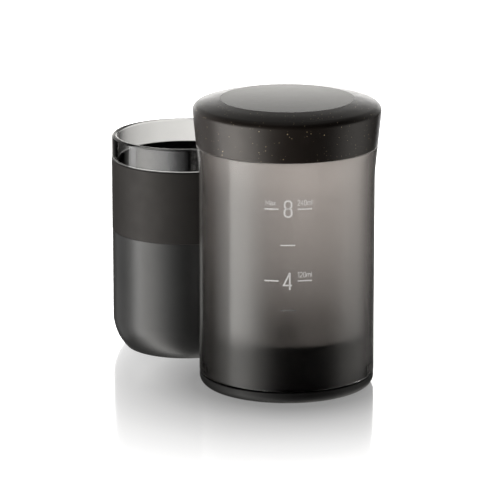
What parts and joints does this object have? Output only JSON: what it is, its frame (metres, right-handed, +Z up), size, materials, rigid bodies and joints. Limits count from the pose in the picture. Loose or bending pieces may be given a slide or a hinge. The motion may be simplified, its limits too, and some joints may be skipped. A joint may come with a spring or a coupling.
{
  "type": "portable coffee maker",
  "caption": "Portable immersion coffee maker with a frosted chamber, pull-off cap, valved filter base and a nesting cup with a grip sleeve.",
  "frame": {"origin": "centre of the brewer's round foot, on the surface that it stands on", "axes": "+Z up along the brewer's axis, -Y towards the front with the volume marks; the cup stands behind and to the left, at -X +Y"},
  "size_m": [0.1169, 0.1346, 0.125],
  "materials": {
    "frosted_smoke": "frosted translucent smoke plastic",
    "cap_composite": "matte black composite with fine pale flecks",
    "cap_disc_matte": "fine matte black",
    "black_plastic": "satin black moulded plastic",
    "liner_plastic": "satin dark grey moulded plastic",
    "silicone": "matte black silicone",
    "steel": "etched stainless steel",
    "spring_steel": "drawn stainless wire",
    "smoke_clear": "smoke transparent plastic, glossy at the lip",
    "sleeve_silicone": "soft matte grip sleeve",
    "mark_ink": "screen-printed white ink"
  },
  "bodies": {
    "base": {"base_housing": "black_plastic", "foot_ring": "silicone", "base_oring": "silicone", "valve_spring": "spring_steel"},
    "chamber": {"brew_chamber": "frosted_smoke"},
    "cap": {"cap_shell": "cap_composite", "cap_disc": "cap_disc_matte", "cap_liner": "liner_plastic", "cap_seal": "silicone"},
    "filter": {"filter_gasket": "silicone", "filter_frame": "black_plastic", "filter_mesh": "steel", "filter_clamp": "black_plastic", "filter_knob": "black_plastic"},
    "valve": {"valve_stem": "black_plastic", "valve_washer": "silicone", "release_spider": "black_plastic", "stem_screw": "steel"},
    "cup": {"cup_body": "smoke_clear", "cup_sleeve": "sleeve_silicone"}
  },
  "joints": [
    {"name": "chamber_twist", "type": "hinge", "parent": "base", "child": "chamber", "pos_m": [0, 0, 0], "axis": [0, 0, 1], "range_deg": [0, 30]},
    {"name": "cap_lift", "type": "slide", "parent": "chamber", "child": "cap", "axis": [0, 0, 1], "range_m": [0, 0.1]},
    {"name": "filter_lift", "type": "slide", "parent": "base", "child": "filter", "axis": [0, 0, 1], "range_m": [0, 0.08]},
    {"name": "valve_lift", "type": "slide", "parent": "base", "child": "valve", "axis": [0, 0, 1], "range_m": [0, 0.0028], "stiffness_N_per_m": 300, "springref_m": -0.003, "deforming": ["valve_spring"]},
    {"name": "cup_lift", "type": "slide", "parent": "base", "child": "cup", "axis": [0, 0, 1], "range_m": [0, 0.12]}
  ]
}
